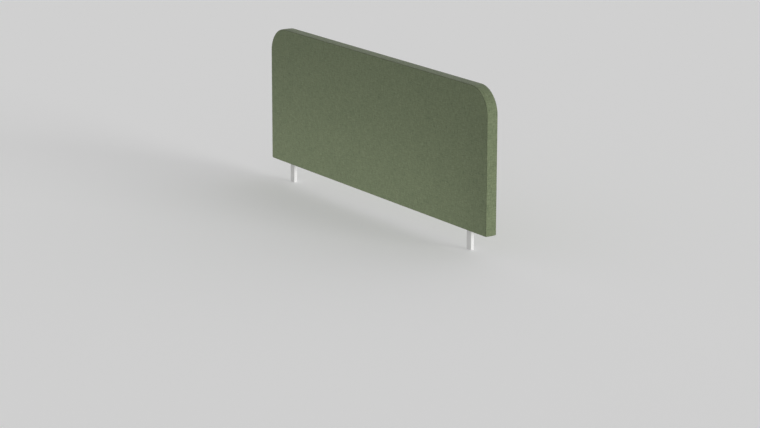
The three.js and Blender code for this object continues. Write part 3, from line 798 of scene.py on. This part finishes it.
# ---------------------------------------------------------------- node material kit
class Shader:
    """A material with one Principled shader, and short methods that add nodes to it."""

    def __init__(self, name):
        self.material = bpy.data.materials.new(name)
        self.material.use_nodes = True
        self.tree = self.material.node_tree
        self.tree.nodes.clear()
        output = self.tree.nodes.new("ShaderNodeOutputMaterial")
        self.bsdf = self.tree.nodes.new("ShaderNodeBsdfPrincipled")
        self.tree.links.new(self.bsdf.outputs[0], output.inputs[0])

    def put(self, socket, value):
        """Links a socket, or sets a plain value."""
        if isinstance(value, bpy.types.NodeSocket):
            self.tree.links.new(value, socket)
        else:
            socket.default_value = value

    def set(self, **values):
        """Sets the Principled shader's inputs, with _ for each space in their names."""
        for key, value in values.items():
            self.put(self.bsdf.inputs[key.replace("_", " ")], value)

    def math(self, operation, *values, clamp=False):
        node = self.tree.nodes.new("ShaderNodeMath")
        node.operation = operation
        node.use_clamp = clamp
        for socket, value in zip(node.inputs, values):
            self.put(socket, value)
        return node.outputs[0]

    def add(self, a, b, clamp=False):
        return self.math("ADD", a, b, clamp=clamp)

    def sub(self, a, b):
        return self.math("SUBTRACT", a, b)

    def mul(self, a, b):
        return self.math("MULTIPLY", a, b)

    def centred(self, value, weight, middle=0.5):
        """The value's swing about its middle, times a weight."""
        return self.mul(self.sub(value, middle), weight)

    def total(self, *values):
        result = values[-1]
        for value in values[-2::-1]:
            result = self.add(value, result)
        return result

    def weighted(self, *pairs):
        """The sum of (value, weight) pairs."""
        return self.total(*[self.mul(value, weight) for value, weight in pairs])

    def vec(self, *parts):
        node = self.tree.nodes.new("ShaderNodeCombineXYZ")
        for socket, value in zip(node.inputs, parts):
            self.put(socket, value)
        return node.outputs[0]

    def scaled_vec(self, parts, scales):
        """A vector with each part multiplied by its scale. A scale of None leaves its part."""
        return self.vec(*[part if scale is None else self.mul(part, scale)
                          for part, scale in zip(parts, scales)])

    def split(self, vector):
        node = self.tree.nodes.new("ShaderNodeSeparateXYZ")
        self.put(node.inputs[0], vector)
        return node.outputs[0], node.outputs[1], node.outputs[2]

    def noise(self, vector, scale=1.0, detail=2.0, rough=0.5, distortion=0.0):
        node = self.tree.nodes.new("ShaderNodeTexNoise")
        self.put(node.inputs["Vector"], vector)
        node.inputs["Scale"].default_value = scale
        node.inputs["Detail"].default_value = detail
        node.inputs["Roughness"].default_value = rough
        node.inputs["Distortion"].default_value = distortion
        return node.outputs["Fac"]

    def cells(self, vector, scale):
        """Distance from the middle of each Voronoi cell."""
        node = self.tree.nodes.new("ShaderNodeTexVoronoi")
        node.inputs["Scale"].default_value = scale
        self.put(node.inputs["Vector"], vector)
        return node.outputs["Distance"]

    def ramp(self, value, stops):
        """A colour ramp from (position, colour) stops."""
        node = self.tree.nodes.new("ShaderNodeValToRGB")
        elements = node.color_ramp.elements
        while len(elements) < len(stops):
            elements.new(0.5)
        for element, (position, colour) in zip(elements, stops):
            element.position = position
            element.color = (*colour, 1)
        self.put(node.inputs[0], value)
        return node.outputs[0]

    def mix(self, factor, a, b, mode="MIX"):
        node = self.tree.nodes.new("ShaderNodeMix")
        node.data_type = "RGBA"
        node.blend_type = mode
        for i, value in ((0, factor), (6, a), (7, b)):
            self.put(node.inputs[i], value)
        return node.outputs[2]

    def shade(self, colour, amount):
        """The colour multiplied by a grey amount."""
        return self.mix(1.0, colour, self.vec(amount, amount, amount), "MULTIPLY")

    def remap(self, value, between, gives):
        """Maps the range `between` onto the range `gives`."""
        node = self.tree.nodes.new("ShaderNodeMapRange")
        self.put(node.inputs[0], value)
        for i, limit in enumerate((*between, *gives)):
            node.inputs[i + 1].default_value = limit
        return node.outputs[0]

    def bump(self, height, distance, strength):
        node = self.tree.nodes.new("ShaderNodeBump")
        node.inputs["Strength"].default_value = strength
        node.inputs["Distance"].default_value = distance
        self.put(node.inputs["Height"], height)
        return node.outputs[0]

    def uv(self):
        node = self.tree.nodes.new("ShaderNodeUVMap")
        node.uv_map = "weave"
        return node.outputs[0]

    def place(self):
        """The piece's own coordinates, in metres."""
        return self.tree.nodes.new("ShaderNodeTexCoord").outputs["Object"]

    def pointiness(self):
        return self.tree.nodes.new("ShaderNodeNewGeometry").outputs["Pointiness"]

    def attribute(self, name):
        node = self.tree.nodes.new("ShaderNodeAttribute")
        node.attribute_name = name
        return node.outputs["Fac"]


def scaled(colour, factor):
    """A colour made lighter or darker, held at 1."""
    return tuple(min(1, channel * factor) for channel in colour)


# ---------------------------------------------------------------- fabric
GREEN = (0.164, 0.200, 0.112)
YARN_PITCH = 0.00125    # metres
# heather tones from dark to light: (position, factors on the green's red, green and blue)
HEATHER = [
    (0.0, (0.42, 0.46, 0.44)),
    (0.32, (0.76, 0.79, 0.77)),
    (0.55, (1.02, 1.02, 1.0)),
    (0.78, (1.30, 1.26, 1.30)),
    (1.0, (1.75, 1.62, 1.85)),
]


def cover_fabric(name, seam=True, contrast=0.92):
    """Plain-woven heather cloth. The third part of each vector keeps the patterns unlike."""
    mat = Shader(name)
    u, v, _ = mat.split(mat.uv())

    def yarn_position(across, layer):
        # yarns wander a little
        wander = mat.centred(mat.noise(mat.vec(u, v, layer), scale=55), weight=0.0009)
        return mat.math("DIVIDE", mat.add(across, wander), YARN_PITCH)

    def yarn_profile(position):
        from_middle = mat.sub(mat.math("FRACT", position), 0.5)
        return mat.math("COSINE", mat.mul(from_middle, math.pi * 0.96))

    def yarn_height(profile, crossing):
        # full across the yarn, and rising along it where it passes over the other
        return mat.mul(mat.math("POWER", profile, 0.6), mat.add(0.45, mat.mul(crossing, 0.55)))

    warp, weft = yarn_position(u, layer=0.3), yarn_position(v, layer=7.1)
    warp_number, weft_number = mat.math("FLOOR", warp), mat.math("FLOOR", weft)
    warp_profile, weft_profile = yarn_profile(warp), yarn_profile(weft)
    number_sum = mat.math("ABSOLUTE", mat.add(warp_number, weft_number))
    parity = mat.math("MODULO", number_sum, 2.0)

    def on_top(warp_value, weft_value):
        """Takes the value of whichever yarn is on top."""
        return mat.add(mat.mul(warp_value, mat.sub(1.0, parity)), mat.mul(weft_value, parity))

    height = on_top(yarn_height(warp_profile, weft_profile),
                    yarn_height(weft_profile, warp_profile))
    # each yarn has its own tone, which drifts along its length
    yarn = on_top(
        mat.noise(mat.scaled_vec((warp_number, v, 3.0), (0.731, 38, None)), detail=1),
        mat.noise(mat.scaled_vec((u, weft_number, 9.0), (38, 0.731, None)), detail=1))
    # heather: streaks a few millimetres wide running both ways, and a fine speckle
    streak_v = mat.noise(mat.scaled_vec((u, v, 0.0), (300, 46, None)), detail=2, rough=0.6)
    streak_h = mat.noise(mat.scaled_vec((u, v, 5.0), (46, 300, None)), detail=2, rough=0.6)
    broad_v = mat.noise(mat.scaled_vec((u, v, 11.0), (105, 30, None)), detail=1)
    broad_h = mat.noise(mat.scaled_vec((u, v, 13.0), (24, 140, None)), detail=1)
    speck = mat.noise(mat.vec(u, v, 2.0), scale=420, detail=1, rough=0.6)
    cloud = mat.noise(mat.vec(u, v, 4.0), scale=9)
    tone = mat.total(
        mat.centred(yarn, weight=0.55),
        mat.centred(streak_v, weight=0.62),
        mat.centred(streak_h, weight=0.62),
        mat.centred(speck, weight=0.5),
        mat.centred(cloud, weight=0.14))
    tone = mat.add(tone, mat.centred(mat.add(broad_v, broad_h), weight=0.24, middle=1.0))
    tone = mat.add(mat.mul(tone, contrast), 0.5, clamp=True)
    colour = mat.ramp(tone, [(position, tuple(c * f for c, f in zip(GREEN, factors)))
                             for position, factors in HEATHER])
    # painted shade: the hollows between the yarns are darkened, and so is the seam groove
    colour = mat.shade(colour, mat.remap(height, between=(0.0, 0.55), gives=(0.62, 1.04)))
    # painted shade along the seam groove: darker within about 1.5 mm of the sewn edge, by edge_mm
    if seam:
        edge = mat.attribute("edge_mm")
        colour = mat.shade(colour, mat.remap(edge, between=(0.6, 1.5), gives=(0.38, 1.0)))
    fuzz = mat.noise(mat.vec(u, v, 1.0), scale=2600, detail=2, rough=0.7)
    relief = height
    for detail, weight in ((fuzz, 0.35), (streak_v, 0.5), (streak_h, 0.5)):
        relief = mat.add(relief, mat.mul(detail, weight))
    mat.set(
        Base_Color=colour,
        Roughness=mat.remap(fuzz, between=(0.2, 0.8), gives=(0.82, 0.98)),
        Normal=mat.bump(relief, distance=0.00028, strength=0.75),
        Sheen_Weight=0.135,
        Sheen_Roughness=0.4,
        Sheen_Tint=(1.0, 0.97, 1.0, 1),
        Specular_IOR_Level=0.36)
    return mat.material


# ---------------------------------------------------------------- other materials
def thread_mat(name, colour):
    """Twisted thread."""
    mat = Shader(name)
    place = mat.place()
    x, y, z = mat.split(place)
    slant = mat.total(x, y, mat.mul(z, 1.7))
    twist = mat.math("SINE", mat.mul(slant, 9000))
    grain = mat.noise(place, scale=900)
    mat.set(
        Base_Color=mat.ramp(grain, [(0.3, scaled(colour, 0.75)), (0.7, scaled(colour, 1.25))]),
        Roughness=mat.remap(grain, between=(0.2, 0.8), gives=(0.45, 0.7)),
        Normal=mat.bump(twist, distance=0.00006, strength=0.6),
        Sheen_Weight=0.2)
    return mat.material


def tape_mat(name, rib_pitch=0.0007, chain_pitch=0.0011):
    """Ribbed zip tape. Pitches in metres."""
    mat = Shader(name)
    x, y, z = mat.split(mat.place())
    rib = mat.math("SINE", mat.mul(x, 2 * math.pi / rib_pitch))
    chain = mat.math("SINE", mat.mul(y, 2 * math.pi / chain_pitch))
    weave = mat.mul(rib, chain)
    grain = mat.noise(mat.scaled_vec((x, y, z), (1, 8, None)), scale=300)
    # the grain is the tape's own uneven tone; the weave term is painted shade, darker where the
    # weave's bump is low
    tone = mat.add(mat.mul(weave, 0.2), grain, clamp=True)
    mat.set(
        Base_Color=mat.ramp(tone, [(0.25, (0.07, 0.085, 0.05)), (0.75, (0.15, 0.178, 0.11))]),
        Roughness=mat.remap(grain, between=(0.2, 0.8), gives=(0.75, 0.95)),
        Normal=mat.bump(weave, distance=0.00012, strength=0.7),
        Sheen_Weight=0.25)
    return mat.material


def nylon_mat(name, colour, rough=(0.28, 0.45), grain_scale=900):
    mat = Shader(name)
    grain = mat.noise(mat.place(), scale=grain_scale, detail=3)
    broad = mat.noise(mat.place(), scale=60)
    tone = mat.weighted((grain, 0.6), (broad, 0.4))
    mat.set(
        Base_Color=mat.ramp(tone, [(0.25, scaled(colour, 0.8)), (0.75, scaled(colour, 1.2))]),
        Roughness=mat.remap(tone, between=(0.25, 0.75), gives=rough),
        Normal=mat.bump(grain, distance=0.00005, strength=0.35),
        Specular_IOR_Level=0.5)
    return mat.material


def metal_mat(name, colour, rough, bump):
    mat = Shader(name)
    grain = mat.noise(mat.place(), scale=1500, detail=3, rough=0.6)
    broad = mat.noise(mat.place(), scale=45, detail=3)
    tone = mat.weighted((grain, 0.5), (broad, 0.5))
    mat.set(
        Base_Color=mat.ramp(tone, [(0.25, scaled(colour, 0.78)), (0.75, scaled(colour, 1.12))]),
        Metallic=1.0,
        Roughness=mat.remap(tone, between=(0.25, 0.75), gives=rough),
        Normal=mat.bump(grain, distance=0.00004, strength=bump))
    return mat.material


def powder_mat(name, colour, worn=(0.62, 0.62, 0.6)):
    """Powder coat: fine orange peel, faint dulling, and arrises toned a little by wear."""
    mat = Shader(name)
    peel = mat.noise(mat.place(), scale=520, rough=0.45)
    fine = mat.noise(mat.place(), scale=2600)
    dust = mat.noise(mat.place(), scale=24, detail=4, rough=0.6)
    wear = mat.remap(mat.pointiness(), between=(0.5, 0.6), gives=(0.0, 1.0))
    dusted = mat.ramp(dust, [(0.3, scaled(colour, 0.955)), (0.7, colour)])
    relief = mat.add(peel, mat.mul(fine, 0.25))
    mat.set(
        Base_Color=mat.mix(mat.mul(wear, 0.12), dusted, (*worn, 1)),
        Roughness=mat.remap(dust, between=(0.3, 0.7), gives=(0.34, 0.46)),
        Normal=mat.bump(relief, distance=0.00012, strength=0.35),
        Specular_IOR_Level=0.5,
        Coat_Weight=0.15,
        Coat_Roughness=0.25)
    return mat.material


def wood_mat(name, axis, light, dark):
    """Wood, with the grain along one axis."""
    mat = Shader(name)
    x, y, z = mat.split(mat.place())
    grain_axes = {"x": (x, y, z), "z": (z, x, y)}[axis]
    _, across, other = grain_axes
    slow = mat.noise(mat.scaled_vec(grain_axes, (1.2, 14, 14)), detail=3, rough=0.55)
    # growth lines lie on a slant across the section and bend with the slow noise
    slant = mat.add(across, mat.mul(other, 0.45))
    lines = mat.math("SINE", mat.mul(mat.weighted((slant, 620), (slow, 26)), 1.0))
    lines = mat.add(mat.mul(lines, 0.5), 0.5)
    fibre = mat.noise(mat.scaled_vec(grain_axes, (22, 1500, 1500)), detail=2, rough=0.6)
    tone = mat.add(mat.mul(lines, 0.6), mat.mul(fibre, 0.45), clamp=True)
    middle = tuple((a + b) / 2 for a, b in zip(light, dark))
    mat.set(
        Base_Color=mat.ramp(tone, [(0.05, dark), (0.55, middle), (0.95, light)]),
        Roughness=mat.remap(fibre, between=(0.2, 0.8), gives=(0.55, 0.8)),
        Normal=mat.bump(tone, distance=0.0002, strength=0.4))
    return mat.material


def felt_mat(name, colour):
    mat = Shader(name)
    place = mat.place()
    fine = mat.noise(place, scale=900, detail=3, rough=0.65, distortion=1.5)
    tufts = mat.noise(place, scale=160, detail=3, rough=0.6, distortion=0.8)
    fibres = mat.noise(mat.scaled_vec(mat.split(place), (260, 1900, 260)),
                       detail=2, rough=0.6, distortion=2.0)
    tone = mat.weighted((fine, 0.35), (tufts, 0.3), (fibres, 0.35))
    stops = [(0.3, scaled(colour, 0.55)), (0.5, colour), (0.7, scaled(colour, 1.6))]
    mat.set(
        Base_Color=mat.ramp(tone, stops),
        Roughness=mat.remap(fine, between=(0.2, 0.8), gives=(0.88, 1.0)),
        Normal=mat.bump(tone, distance=0.0009, strength=0.7),
        Sheen_Weight=0.3,
        Specular_IOR_Level=0.1)
    return mat.material


def foam_mat(name, colour):
    mat = Shader(name)
    place = mat.place()
    cells = mat.cells(place, scale=950)
    broad = mat.noise(place, scale=18, detail=3)
    # painted shade in the pores: darker near the middle of each cell, where the bump makes a pit
    tone = mat.weighted((cells, 0.7), (broad, 0.4))
    stops = [(0.1, scaled(colour, 0.6)), (0.6, colour), (1.0, scaled(colour, 1.1))]
    mat.set(
        Base_Color=mat.ramp(tone, stops),
        Roughness=mat.remap(broad, between=(0.2, 0.8), gives=(0.85, 0.98)),
        Normal=mat.bump(cells, distance=0.0005, strength=0.8),
        Specular_IOR_Level=0.2)
    return mat.material


PINE_TONES = {"light": (0.60, 0.44, 0.27), "dark": (0.40, 0.265, 0.145)}
BEECH_TONES = {"light": (0.66, 0.48, 0.31), "dark": (0.5, 0.34, 0.2)}

FABRIC = cover_fabric("heather_fabric")
BAND_FABRIC = cover_fabric("heather_fabric_band", contrast=1.1)
STRIP_FABRIC = cover_fabric("heather_fabric_strip", seam=False)
THREAD = thread_mat("seam_thread", (0.075, 0.09, 0.055))
TOPSTITCH = thread_mat("topstitch_thread", (0.16, 0.19, 0.12))
TAPE = tape_mat("zip_tape_weave")
COIL = nylon_mat("zip_coil_nylon", (0.085, 0.10, 0.062))
ZIP_METAL = metal_mat("zip_cast_metal", (0.46, 0.46, 0.47), rough=(0.22, 0.4), bump=0.25)
ZINC = metal_mat("zinc_plate", (0.62, 0.63, 0.65), rough=(0.3, 0.5), bump=0.4)
BLACK = nylon_mat("black_moulded_nylon", (0.028, 0.028, 0.03), rough=(0.38, 0.55),
                  grain_scale=1400)
WHITE = powder_mat("white_powder_coat", (0.89, 0.89, 0.88))
WOOD_X = wood_mat("pine_along_x", "x", **PINE_TONES)
WOOD_Z = wood_mat("pine_upright", "z", **PINE_TONES)
BEECH = wood_mat("beech_dowel", "z", **BEECH_TONES)
BEECH_X = wood_mat("beech_dowel_level", "x", **BEECH_TONES)
FELT = felt_mat("absorber_felt", (0.25, 0.26, 0.255))
FOAM = foam_mat("pad_foam_cells", (0.62, 0.58, 0.48))


# ---------------------------------------------------------------- the new pieces take their places
def paint(obj, material):
    obj.data.materials.clear()
    obj.data.materials.append(material)


def new_piece(obj, material, replaced=None, body="panel"):
    paint(obj, material)
    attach(obj, body)
    if replaced:
        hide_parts(replaced)


new_piece(front, FABRIC, "front_face_cover")
new_piece(back, FABRIC, "back_face_cover")
new_piece(edge_band, BAND_FABRIC, "edge_band_cover")
new_piece(bottom_strip, STRIP_FABRIC, "bottom_strip_cover")
new_piece(seam_front, THREAD)
new_piece(seam_back, THREAD)
new_piece(topstitch_front, TOPSTITCH)
new_piece(topstitch_back, TOPSTITCH)
new_piece(coil_front, COIL, "zip_coil_front")
new_piece(coil_back, COIL, "zip_coil_back")
new_piece(tape_front, TAPE, "zip_tape_front")
new_piece(tape_back, TAPE, "zip_tape_back")
new_piece(front_foam, FOAM, "front_pad")
new_piece(back_foam, FOAM, "back_pad")
for end in ENDS:
    new_piece(posts[end], WHITE, end + "_post", body="posts")
    new_piece(batts[end], FELT, end + "_main_absorber")


# ---------------------------------------------------------------- CAD nodes kept as they are
def smooth_node(node, material):
    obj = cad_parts[node]
    paint(obj, material)
    obj.data.polygons.foreach_set("use_smooth", np.ones(len(obj.data.polygons), bool))
    return obj


def finish_node(node, material, bevel):
    """A CAD node with its material and arrises softened by a bevel in mm."""
    modifiers = smooth_node(node, material).modifiers
    # the faceted solid comes in with its faces unjoined: join them, and clear cuts in flat faces
    join = modifiers.new("join", "WELD")
    join.merge_threshold = 0.004 * MM
    flats = modifiers.new("flats", "DECIMATE")
    flats.decimate_type = "DISSOLVE"
    flats.angle_limit = math.radians(0.5)
    arris = modifiers.new("arris", "BEVEL")
    arris.width = bevel * MM
    arris.segments = 3
    arris.limit_method = "ANGLE"
    arris.angle_limit = math.radians(32)
    arris.harden_normals = False
    normals = modifiers.new("normals", "WEIGHTED_NORMAL")
    normals.keep_sharp = True


def cast_node(node, rounds):
    """A small die-cast zip part: the CAD node with every arris softened."""
    modifiers = smooth_node(node, ZIP_METAL).modifiers
    skin = modifiers.new("skin", "REMESH")
    skin.mode = "VOXEL"
    skin.voxel_size = 0.14 * MM
    skin.use_smooth_shade = True
    soften = modifiers.new("soften", "SMOOTH")
    soften.factor = 0.5
    soften.iterations = rounds


for node in ("bottom_rail", "top_rail"):
    finish_node(node, WOOD_X, bevel=0.8)
for node in ("centre_stile", "near_end_stile", "far_end_stile", "near_post_stile",
             "far_post_stile", "near_corner_block", "far_corner_block"):
    finish_node(node, WOOD_Z, bevel=0.8)
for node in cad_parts:
    if "dowel" in node:
        finish_node(node, BEECH_X if node.endswith("level") else BEECH, bevel=0.5)
for node in ("edge_wadding", "near_end_absorber", "far_end_absorber"):
    finish_node(node, FELT, bevel=1.0)
# fittings at each end: (name after the end's, material, bevel)
FITTINGS = [
    ("_socket", ZINC, 0.35),
    ("_socket_screw_outer", ZINC, 0.1),
    ("_socket_screw_inner", ZINC, 0.1),
    ("_guide_bush", BLACK, 0.45),
    ("_post_cap", BLACK, 0.5),
    ("_post_foot_nut", ZINC, 0.25),
]
for end in ENDS:
    for fitting, material, bevel in FITTINGS:
        finish_node(end + fitting, material, bevel)
cast_node("zip_slider", rounds=5)
for node in ("zip_pull_tab", "zip_stop_near", "zip_stop_far"):
    cast_node(node, rounds=4)


# ---------------------------------------------------------------- floor
def floor(reach=60, drop=0.0004):
    """A pale floor just below the piece, faintly lit of itself. Metres."""
    mesh = bpy.data.meshes.new("floor")
    corners = [(-reach, -reach, 0), (reach, -reach, 0), (reach, reach, 0), (-reach, reach, 0)]
    mesh.from_pydata(corners, [], [(0, 1, 2, 3)])
    obj = bpy.data.objects.new("floor", mesh)
    scene.collection.objects.link(obj)
    obj.location.z = -drop
    mat = Shader("pale_floor")
    mat.set(
        Base_Color=(0.80, 0.80, 0.80, 1),
        Roughness=0.9,
        Specular_IOR_Level=0.1,
        Emission_Color=(1, 1, 1, 1),
        Emission_Strength=0.18)
    paint(obj, mat.material)


floor()


# ---------------------------------------------------------------- world
def studio_world(horizon, zenith, front_dimming, backdrop):
    """White light on the piece, and an even white backdrop for the camera. All are strengths."""
    world = bpy.data.worlds.new("studio")
    scene.world = world
    world.use_nodes = True
    nodes, link = world.node_tree.nodes, world.node_tree.links.new
    nodes.clear()

    def background():
        node = nodes.new("ShaderNodeBackground")
        node.inputs[0].default_value = (1, 1, 1, 1)
        return node

    def map_range(source, limits):
        node = nodes.new("ShaderNodeMapRange")
        link(source, node.inputs[0])
        for i, value in enumerate(limits):
            node.inputs[i + 1].default_value = value
        return node.outputs[0]

    output = nodes.new("ShaderNodeOutputWorld")
    mix = nodes.new("ShaderNodeMixShader")
    path = nodes.new("ShaderNodeLightPath")
    lighting, seen = background(), background()
    seen.inputs[1].default_value = backdrop
    heading = nodes.new("ShaderNodeTexCoord")
    split = nodes.new("ShaderNodeSeparateXYZ")
    link(heading.outputs["Generated"], split.inputs[0])
    # softer overhead than round the sides, and dimmer from the front
    by_height = map_range(split.outputs[2], (0.0, 1.0, horizon, zenith))
    by_front = map_range(split.outputs[1], (-1.0, 0.0, front_dimming, 1.0))
    strength = nodes.new("ShaderNodeMath")
    strength.operation = "MULTIPLY"
    link(by_height, strength.inputs[0])
    link(by_front, strength.inputs[1])
    link(strength.outputs[0], lighting.inputs[1])
    link(path.outputs["Is Camera Ray"], mix.inputs[0])
    link(lighting.outputs[0], mix.inputs[1])
    link(seen.outputs[0], mix.inputs[2])
    link(mix.outputs[0], output.inputs[0])


studio_world(horizon=1.04, zenith=0.32, front_dimming=0.35, backdrop=0.64)


# ---------------------------------------------------------------- lights, in metres and degrees
def add_light(name, kind, energy):
    data = bpy.data.lights.new(name, kind)
    data.energy = energy
    obj = bpy.data.objects.new(name, data)
    scene.collection.objects.link(obj)
    obj.rotation_mode = "QUATERNION"
    return obj


def sun(name, azimuth, elevation, strength, angle):
    """Even, soft light from far off. azimuth 0 comes from +X and 90 from +Y."""
    obj = add_light(name, "SUN", strength)
    obj.data.angle = math.radians(angle)
    turn, tilt = math.radians(azimuth), math.radians(elevation)
    source = Vector((math.cos(turn) * math.cos(tilt), math.sin(turn) * math.cos(tilt),
                     math.sin(tilt)))
    obj.rotation_quaternion = source.to_track_quat("Z", "Y")


def strip_light(name, at, aim, size, power, receiver):
    """A low strip that lights only the piece given."""
    obj = add_light(name, "AREA", power)
    obj.data.shape = "RECTANGLE"
    obj.data.size, obj.data.size_y = size
    obj.location = at
    obj.rotation_quaternion = (Vector(aim) - Vector(at)).to_track_quat("-Z", "Y")
    obj.visible_camera = False
    lit = bpy.data.collections.new(name + "_receivers")
    lit.objects.link(receiver)
    obj.light_linking.receiver_collection = lit


sun("window", azimuth=18, elevation=9, strength=1.58, angle=30)
strip_light("low_strip", at=(-0.3, -0.5, 0.035), aim=(-0.3, 0, 0.115), size=(2.1, 0.1),
            power=2.8, receiver=front)
strip_light("low_end_strip", at=(1.4, 0.0, 0.045), aim=(HALF * MM, 0, 0.175), size=(0.3, 0.1),
            power=0.3, receiver=edge_band)

# ---------------------------------------------------------------- camera
# in front of the panel, beyond its near end and above it, in metres
CAMERA_AT = (8.48790, -5.67708, 2.70174)
CAMERA_LOOK = Vector((-0.80300329, 0.53823814, -0.25590118))
CAMERA_UP = Vector((-0.21370309, 0.14078457, 0.96670093))
CAMERA_RIGHT = Vector((0.55634225, 0.83095091, 0.00197268))

camera_data = bpy.data.cameras.new("camera")
camera = bpy.data.objects.new("camera", camera_data)
scene.collection.objects.link(camera)
camera_data.sensor_width = 36
camera_data.lens = 119.5693
camera_data.clip_start, camera_data.clip_end = 0.1, 200
camera_turn = Matrix((CAMERA_RIGHT, CAMERA_UP, -CAMERA_LOOK)).transposed().to_4x4()
camera.matrix_world = Matrix.Translation(CAMERA_AT) @ camera_turn
scene.camera = camera

scene.view_settings.view_transform = "Standard"
scene.view_settings.look = "None"
